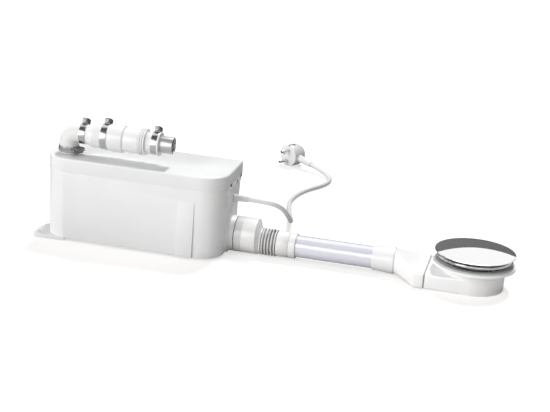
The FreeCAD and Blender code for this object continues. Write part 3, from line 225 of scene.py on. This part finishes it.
# The ribbed sleeve: white moulded rubber with five deep grooves that let the pipe sit at a slight angle,
# and a plain cuff that grips the pipe's end behind a short collar. Shade is painted into the grooves'
# hollows: the rubber's colour darkens with depth towards the pipe's axis.
def turned(name, profile, centre, along_x, material, body="pump_unit", sides=96, angle=35.0, closed=True):
    # A round piece raised ring by ring from (along, radius) pairs in metres
    bpy.ops.object.select_all(action="DESELECT")
    along, radius = profile[0]
    bpy.ops.mesh.primitive_circle_add(vertices=sides, radius=radius, location=(0.0, 0.0, along))
    piece = bpy.context.object
    piece.name = name
    bpy.ops.object.mode_set(mode="EDIT")
    bpy.ops.mesh.select_all(action="SELECT")
    for next_along, next_radius in profile[1:] + (profile[:1] if closed else []):
        bpy.ops.mesh.extrude_region_move(TRANSFORM_OT_translate={"value": (0.0, 0.0, next_along - along)})
        share = next_radius / radius
        bpy.ops.transform.resize(value=(share, share, 1.0), center_override=(0.0, 0.0, next_along))
        along, radius = next_along, next_radius
    bpy.ops.mesh.select_all(action="SELECT")
    bpy.ops.mesh.remove_doubles(threshold=0.000002)
    if not closed:
        bpy.ops.mesh.fill_holes(sides=0)
    bpy.ops.mesh.select_all(action="SELECT")
    bpy.ops.mesh.normals_make_consistent(inside=False)
    bpy.ops.object.mode_set(mode="OBJECT")
    bpy.ops.object.transform_apply(location=True, rotation=True, scale=True)
    if along_x:
        piece.rotation_euler = (0.0, math.pi / 2, 0.0)
    piece.location = centre
    bpy.ops.object.transform_apply(location=True, rotation=True, scale=True)
    bpy.ops.object.shade_smooth_by_angle(angle=math.radians(angle))
    dress(piece, material)
    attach(piece, body)
    return piece


def softened(profile, radius):
    # The profile with each corner cut by a small round of four points
    points = []
    count = len(profile)
    for index in range(count):
        before = Vector(profile[index - 1])
        corner = Vector(profile[index])
        after = Vector(profile[(index + 1) % count])
        reach = min(radius, (before - corner).length * 0.45, (after - corner).length * 0.45)
        first = corner + (before - corner).normalized() * reach
        last = corner + (after - corner).normalized() * reach
        for step in range(4):
            share = step / 3
            bend = first * (1 - share) ** 2 + corner * 2 * share * (1 - share) + last * share ** 2
            points.append(tuple(bend))
    return points


def node_span(node, axis=0):
    # Where a part begins and ends along an axis
    low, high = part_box(node)
    return low[axis], high[axis]


def paint_shade_near(material, offset, axes, near, far, share):
    # Paints shade into a finish: takes it down to a share of its tone close to a line or a level, and leaves it
    # as it is far off
    tree = material.node_tree
    place_of = tree.nodes.new("ShaderNodeTexCoord")
    apart = tree.nodes.new("ShaderNodeMapping")
    apart.inputs["Location"].default_value = offset
    apart.inputs["Scale"].default_value = axes
    distance_off = tree.nodes.new("ShaderNodeVectorMath")
    distance_off.operation = "LENGTH"
    fade = tree.nodes.new("ShaderNodeMapRange")
    fade.inputs["From Min"].default_value = near
    fade.inputs["From Max"].default_value = far
    fade.inputs["To Min"].default_value = share
    shade = tree.nodes.new("ShaderNodeHueSaturation")
    links = tree.links
    links.new(place_of.outputs["Object"], apart.inputs["Vector"])
    links.new(apart.outputs["Vector"], distance_off.inputs[0])
    links.new(distance_off.outputs["Value"], fade.inputs["Value"])
    links.new(fade.outputs["Result"], shade.inputs["Value"])
    links.new(tree.nodes["Color Ramp"].outputs["Color"], shade.inputs["Color"])
    links.new(shade.outputs["Color"], tree.nodes["Principled BSDF"].inputs["Base Color"])


pipe_axis = Vector((0.0, 0.012, 0.0203))
pipe_radius = 0.016
pipe_bore = 0.0144
pipe_socket = 0.01605
white_rubber = surface("white_rubber", (0.78, 0.78, 0.775), 0.5, grain=1100.0)
# Painted shade: this copy of the white rubber falls to half its tone in the groove hollows, close to the pipe's
# axis.
ribbed_rubber_painted_shade = surface("ribbed_rubber_painted_shade", (0.78, 0.78, 0.775), 0.5, grain=1100.0)
paint_shade_near(ribbed_rubber_painted_shade, -pipe_axis, (0.0, 1.0, 1.0), 0.0168, 0.0183, 0.50)
sleeve_low, sleeve_high = node_span("ribbed_sleeve")
sleeve_bore = 0.0141
groove_count = 5
groove_pitch = 0.0046
groove_radius = 0.0162
rib_radius = 0.0200
rib_shoulder = rib_radius - 0.0004
rib = ((0.0017, groove_radius), (0.0020, rib_shoulder), (0.0023, rib_radius), (0.0033, rib_radius),
       (0.0036, rib_shoulder), (0.0039, groove_radius))
grip_radius = 0.0186
grip_low = sleeve_low + groove_count * groove_pitch
sleeve_profile = [(sleeve_low, sleeve_bore), (sleeve_low, groove_radius)]
for index in range(groove_count):
    start = sleeve_low + index * groove_pitch
    sleeve_profile += [(start + offset, radius) for offset, radius in rib]
sleeve_profile += [(grip_low + 0.0002, groove_radius), (grip_low + 0.0002, grip_radius - 0.0004),
                   (grip_low + 0.0008, grip_radius), (sleeve_high - 0.0006, grip_radius),
                   (sleeve_high, grip_radius - 0.0005), (sleeve_high, 0.0161)]
sleeve = turned("ribbed_rubber_sleeve", sleeve_profile, pipe_axis, True, ribbed_rubber_painted_shade, sides=128, angle=50.0)
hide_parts("ribbed_sleeve")
collar_low, collar_high = node_span("pipe_collar")
collar_start = collar_low + 0.0003
collar_profile = [(collar_start, pipe_socket), (collar_start, 0.0187), (collar_high, 0.0184),
                  (collar_high, pipe_socket)]
collar = turned("pipe_collar_ring", softened(collar_profile, 0.0006), pipe_axis, True, shaded_plastic)
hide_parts("pipe_collar")

# The waste pipe: an extruded clear tube, milky with a lavender tint, 32 mm outside, pushed into the
# sleeve at one end and into a flared white cuff at the other.
clear_pipe = surface("clear_pipe", (0.90, 0.90, 1.0), 0.10, grain=260.0, depth=0.000004, drift=0.02,
                     Transmission_Weight=0.16, IOR=1.5, Coat_Weight=1.0, Coat_IOR=2.3)
pipe_low, pipe_high = node_span("waste_pipe")
pipe_profile = [(pipe_low, pipe_bore), (pipe_low, pipe_radius), (pipe_high, pipe_radius), (pipe_high, pipe_bore)]
pipe = turned("clear_waste_pipe", softened(pipe_profile, 0.0003), pipe_axis, True, clear_pipe, sides=128)
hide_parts("waste_pipe")
cuff_low, cuff_high = node_span("pipe_cuff")
cuff_stop = cuff_low + 0.0221
flare_radius = 0.0195
cuff_profile = [(cuff_low, pipe_socket), (cuff_low, 0.0174), (cuff_low + 0.006, 0.0176),
                (cuff_high - 0.004, flare_radius), (cuff_high, flare_radius), (cuff_high, pipe_bore),
                (cuff_stop, pipe_bore), (cuff_stop, pipe_socket)]
cuff = turned("flared_cuff", softened(cuff_profile, 0.0007), pipe_axis, True, white_plastic, sides=128)
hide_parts("pipe_cuff")

# The trap's inlet: a white moulded adapter from the round cuff to the flat arm, its rectangular
# collar, and the dark ribbed seal between collar and arm.
bright_plastic = surface("bright_plastic", (0.92, 0.92, 0.92), 0.42, grain=1400.0, depth=0.000012, drift=0.01)
joint_rubber = surface("joint_rubber", (0.38, 0.375, 0.37), 0.55)
finished("trap_adapter", "trap_adapter_moulding", 0.0040, bright_plastic, angle=12.0, segments=6)
finished("trap_collar", "trap_collar_moulding", 0.0010, bright_plastic)
finished("joint_seal", "joint_seal_ribbed", 0.0002, joint_rubber)

# The trap: a low white moulding with a flat arm, a round bowl and a wide flange that lies under the
# shower tray, topped by a grey rubber gasket.
finished("trap_body", "trap_moulding", 0.0009, bright_plastic)
gasket_grey = surface("gasket_grey", (0.50, 0.50, 0.51), 0.6)
finished("flange_gasket", "flange_gasket_ring", 0.0003, gasket_grey)

# The metal fittings of the trap: a pressed steel clamping ring above the tray, its four screws, and a
# domed cover of mirror-plated brass that stands on the lift-out cup.
polished = {"metallic": 1.0, "grain": 60.0, "depth": 0.0, "drift": 0.01}
chrome = surface("chrome", (0.95, 0.95, 0.955), 0.03, **polished)
ring_steel = surface("ring_steel", (0.58, 0.58, 0.585), 0.12, **polished)
trap_centre = Vector((0.491, 0.012, 0.0))
ring_low, ring_high = node_span("waste_ring", 2)
ring_radius = 0.0540
ring_under = ring_high - 0.0040
throat_radius = 0.0359
throat_outer = 0.0375
ledge_radius = 0.0309
ledge_top = ring_low + 0.0020
ring_profile = [(ring_high - 0.0022, throat_radius), (ring_high, throat_radius + 0.0009),
                (ring_high, ring_radius - 0.0015), (ring_high - 0.0015, ring_radius), (ring_under, ring_radius),
                (ring_under, throat_outer), (ring_low, throat_outer), (ring_low, ledge_radius),
                (ledge_top, ledge_radius), (ledge_top, throat_radius)]
ring = turned("clamping_ring", softened(ring_profile, 0.0006), trap_centre, False, ring_steel, sides=160)
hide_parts("waste_ring")
finished("ring_screws", "ring_screws_steel", 0.0003, bright_steel)
dome_low, dome_high = node_span("cover_dome", 2)
dome_radius = 0.0575
dome_rise = 0.0080
dome_wall = 0.0014
dome_sphere = (dome_radius ** 2 + dome_rise ** 2) / (2 * dome_rise)
dome_rings = 26


def dome_drop(reach):
    # How far the dome has fallen below its crown at this distance from its middle
    return dome_sphere - math.sqrt(dome_sphere ** 2 - reach ** 2)


dome_profile = []
for index in range(dome_rings):
    reach = 0.0006 + (dome_radius - 0.0022) * index / (dome_rings - 1)
    dome_profile.append((dome_high - dome_wall - dome_drop(reach), reach))
dome_profile += [(dome_low, 0.0561), (dome_low, 0.0569), (dome_low + 0.0002, 0.0573),
                 (dome_low + 0.0006, dome_radius), (dome_low + 0.0009, 0.05745)]
for index in range(dome_rings):
    reach = dome_radius - 0.0003 - (dome_radius - 0.0009) * index / (dome_rings - 1)
    dome_profile.append((dome_high - dome_drop(reach), reach))
dome = turned("chrome_cover", dome_profile, trap_centre, False, chrome, body="drain_cover", sides=192, angle=50.0,
              closed=False)
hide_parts("cover_dome")

# The discharge line: a white rubber elbow over the riser, then the check valve's white body in three
# lengths, a rubber outlet sleeve, and a short grey metal pipe end.
line_axis = Vector((0.0, -0.025, 0.156))
discharge = "discharge_line"
finished("discharge_elbow", "rubber_elbow", 0.0010, white_rubber, body=discharge, angle=40.0)


def line_piece(name, node, profile, material, soft=0.0006):
    # A turned length of the discharge line, in place of its part
    piece = turned(name, softened(profile, soft), line_axis, True, material, body=discharge, sides=112)
    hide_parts(node)
    return piece


spigot_bore = 0.0090
line_bore = 0.0110
barrel_radius = 0.0170
valve_bore = 0.0160
inlet_low, inlet_high = node_span("valve_inlet")
spigot_end = inlet_low + 0.0132
line_piece("valve_inlet_cone", "valve_inlet",
           [(inlet_low, spigot_bore), (inlet_low, line_bore), (spigot_end, line_bore), (spigot_end, 0.0141),
            (inlet_low + 0.0220, barrel_radius), (inlet_high, barrel_radius), (inlet_high, spigot_bore)],
           white_plastic)
band_low, band_high = node_span("valve_sleeve")
band_radius = 0.0180
band_groove = (band_high - 0.0018, band_high - 0.0010)
line_piece("valve_rubber_sleeve", "valve_sleeve",
           [(band_low, barrel_radius), (band_low, 0.0178), (band_groove[0], band_radius),
            (band_groove[0], 0.0176), (band_groove[1], 0.0176), (band_groove[1], band_radius),
            (band_high, band_radius), (band_high, barrel_radius)], white_rubber, 0.0003)
body_low, body_high = node_span("valve_body")
chamber_radius = 0.0200
line_piece("valve_chamber", "valve_body",
           [(body_low, valve_bore), (body_low, 0.0198), (body_low + 0.0030, chamber_radius),
            (body_high - 0.0015, chamber_radius), (body_high, 0.0186), (body_high, valve_bore)], white_plastic)
union_low, union_high = node_span("valve_union")
union_radius = 0.0182
grip_count = 3
grip_pitch = 0.0033
grip_groove = 0.0166
grip_crest = 0.0194
grips_low = union_high - grip_count * grip_pitch
union_profile = [(union_low, valve_bore), (union_low, union_radius), (grips_low, union_radius)]
for index in range(grip_count):
    start = grips_low + index * grip_pitch
    union_profile += [(start, grip_groove), (start + 0.0011, grip_groove), (start + 0.0011, grip_crest),
                      (start + 0.0028, grip_crest)]
union_profile += [(union_high, 0.0184), (union_high, line_bore), (grips_low, line_bore), (grips_low, valve_bore)]
line_piece("valve_union_rings", "valve_union", union_profile, white_plastic, soft=0.0003)
outlet_low, outlet_high = node_span("outlet_sleeve")
lip_low = outlet_high - 0.0025
socket_low = outlet_high - 0.0180
pipe_root = 0.0120
line_piece("outlet_rubber_sleeve", "outlet_sleeve",
           [(outlet_low, line_bore), (outlet_low, 0.0160), (lip_low, 0.0160), (lip_low, 0.0175),
            (outlet_high, 0.0175), (outlet_high, pipe_root), (socket_low, pipe_root), (socket_low, line_bore)],
           white_rubber)
pipe_metal = surface("pipe_metal", (0.55, 0.55, 0.545), 0.38, metallic=0.7, grain=800.0)
metal_low, metal_high = node_span("discharge_pipe")
mouth_radius = 0.0123
line_piece("metal_pipe_end", "discharge_pipe",
           [(metal_low, line_bore), (metal_low, pipe_root), (outlet_high, pipe_root),
            (outlet_high, mouth_radius), (metal_high, mouth_radius), (metal_high, line_bore)], pipe_metal, 0.0003)

# The worm-drive clamps: stainless bands pulled tight round the rubber by a screw in a pressed
# housing, which sits on top and leans to the back. The band on the riser carries painted shade: its
# steel is coloured darker than the rest.
clamp_steel_painted_shade = surface("clamp_steel_painted_shade", (0.66, 0.66, 0.665), 0.22, metallic=1.0, grain=1200.0, depth=0.000004)
# Painted shade: the bands' steel drops to 70% of its tone below 138.5 mm up, where the riser's band sits.
paint_shade_near(clamp_steel_painted_shade, (0.0, 0.0, 0.0), (0.0, 0.0, 1.0), 0.1385, 0.1400, 0.70)
housing_steel = surface("housing_steel", (0.19, 0.19, 0.19), 0.44, metallic=1.0)
screw_steel = surface("screw_steel", (0.27, 0.27, 0.27), 0.40, metallic=1.0)
finished("clamp_bands", "clamp_bands_steel", 0.0002, clamp_steel_painted_shade, body=discharge)
finished("clamp_housings", "clamp_housings_steel", 0.0009, housing_steel, body=discharge)
finished("clamp_screws", "clamp_screws_steel", 0.0003, screw_steel, body=discharge)

# The cord's gland: a grey moulded fitting through the tank's side, and a tapered white rubber strain
# relief with shallow grooves that the cord leaves by.
finished("cable_gland", "cord_gland", 0.0004, grey_plastic)
finished("strain_relief", "cord_relief", 0.0002, white_rubber)

# The floor: plain pale paint that lights the object from below as a mid grey does. To the eye, and in
# metal, gloss and clear plastic, it glows up to white round the object's shadow.
floor_paint = surface("floor_paint", (0.50, 0.485, 0.47), 0.9, grain=40.0, depth=0.0, drift=0.004,
                      Specular_IOR_Level=0.1)


def seen_or_mirrored(tree):
    # One where the eye meets the surface straight, in bright metal or through clear plastic, else nought
    ray = tree.nodes.new("ShaderNodeLightPath")
    level = ray.outputs["Is Camera Ray"]
    for kind in ("Is Glossy Ray", "Is Transmission Ray"):
        either = tree.nodes.new("ShaderNodeMath")
        either.operation = "MAXIMUM"
        tree.links.new(level, either.inputs[0])
        tree.links.new(ray.outputs[kind], either.inputs[1])
        level = either.outputs["Value"]
    return level


floor_tree = floor_paint.node_tree
floor_shader = floor_tree.nodes["Principled BSDF"]
floor_glow = floor_tree.nodes.new("ShaderNodeMath")
floor_glow.operation = "MULTIPLY"
floor_glow.inputs[1].default_value = 0.60
floor_tree.links.new(seen_or_mirrored(floor_tree), floor_glow.inputs[0])
floor_tree.links.new(floor_glow.outputs["Value"], floor_shader.inputs["Emission Strength"])
floor_shader.inputs["Emission Color"].default_value = (1.0, 1.0, 1.0, 1.0)
bpy.ops.object.select_all(action="DESELECT")
bpy.ops.mesh.primitive_plane_add(size=24.0, location=(0.0, 6.0, 0.0))
floor = bpy.context.object
floor.name = "floor"
dress(floor, floor_paint)


# The studio's boards: dark and pale cards round the set that give the chrome, the bands and the clear
# pipe their grey and white stripes, and one black flag that shades the inlet end of the tank. The
# wall's top edge falls to the right, as the dark part of the cover does in the photo.
def card(name, size, location, turn, tone, glow=0.0, mirrored=True):
    # A board that shows in bright metal and gloss alone, or else only shades the set
    bpy.ops.object.select_all(action="DESELECT")
    bpy.ops.mesh.primitive_plane_add(size=1.0, location=location, rotation=turn)
    board = bpy.context.object
    board.name = name
    board.scale = (size[0], size[1], 1.0)
    paint = bpy.data.materials.new(name)
    paint.use_nodes = True
    shader = paint.node_tree.nodes["Principled BSDF"]
    shader.inputs["Base Color"].default_value = (tone, tone, tone, 1.0)
    shader.inputs["Roughness"].default_value = 1.0
    shader.inputs["Specular IOR Level"].default_value = 0.0
    shader.inputs["Emission Color"].default_value = (1.0, 1.0, 1.0, 1.0)
    shader.inputs["Emission Strength"].default_value = glow
    dress(board, paint)
    board.visible_camera = False
    board.visible_diffuse = not mirrored
    board.visible_glossy = mirrored
    board.visible_shadow = False
    board.visible_transmission = False


level = (0.0, 0.0, 0.0)
upright = (math.pi / 2, 0.0, 0.0)
sideways = (0.0, math.pi / 2, 0.0)
leaning = (math.pi / 2, 0.45, 0.0)
card("card_floor_behind", (5.0, 1.5), (0.5, 0.85, 0.003), level, 0.12)
card("card_floor_before", (5.0, 2.2), (0.5, -1.0, 0.002), level, 0.48)
card("card_wall_behind", (4.6, 2.0), (0.054, 1.6, -0.228), leaning, 0.2)
card("card_overhead", (5.0, 1.8), (0.2, -0.65, 1.55), level, 0.14)
card("card_front_glow", (6.0, 1.0), (0.2, -2.2, 1.0), upright, 0.8, glow=1.7)
card("flag_right", (1.4, 1.8), (0.70, 0.95, 0.7), sideways, 0.05, mirrored=False)


# The light: a broad lamp from above and behind, a weaker and softer one from the front left, and an
# even sky, which is white where it is seen or mirrored.
def sun(name, energy, toward, spread):
    # A lamp from far away that shines one way, as soft as its spread in degrees
    lamp_data = bpy.data.lights.new(name, "SUN")
    lamp_data.energy = energy
    lamp_data.angle = math.radians(spread)
    lamp = bpy.data.objects.new(name, lamp_data)
    lamp.rotation_euler = Vector(toward).to_track_quat("-Z", "Y").to_euler()
    bpy.context.scene.collection.objects.link(lamp)


sun("key", 2.3, (-0.10, -0.60, -1.0), 9.0)
sun("fill", 1.9, (0.55, 0.75, -0.32), 40.0)

world = bpy.data.worlds.new("studio")
bpy.context.scene.world = world
world.use_nodes = True
sky = world.node_tree
sky_light = sky.nodes["Background"]
sky_light.inputs["Color"].default_value = (1.0, 1.0, 1.0, 1.0)
sky_light.inputs["Strength"].default_value = 0.46
white_back = sky.nodes.new("ShaderNodeBackground")
white_back.inputs["Color"].default_value = (1.0, 1.0, 1.0, 1.0)
white_back.inputs["Strength"].default_value = 1.0
mixer = sky.nodes.new("ShaderNodeMixShader")
sky.links.new(seen_or_mirrored(sky), mixer.inputs["Fac"])
sky.links.new(sky_light.outputs[0], mixer.inputs[1])
sky.links.new(white_back.outputs[0], mixer.inputs[2])
sky.links.new(mixer.outputs[0], sky.nodes["World Output"].inputs["Surface"])

bpy.context.scene.view_settings.view_transform = "Standard"
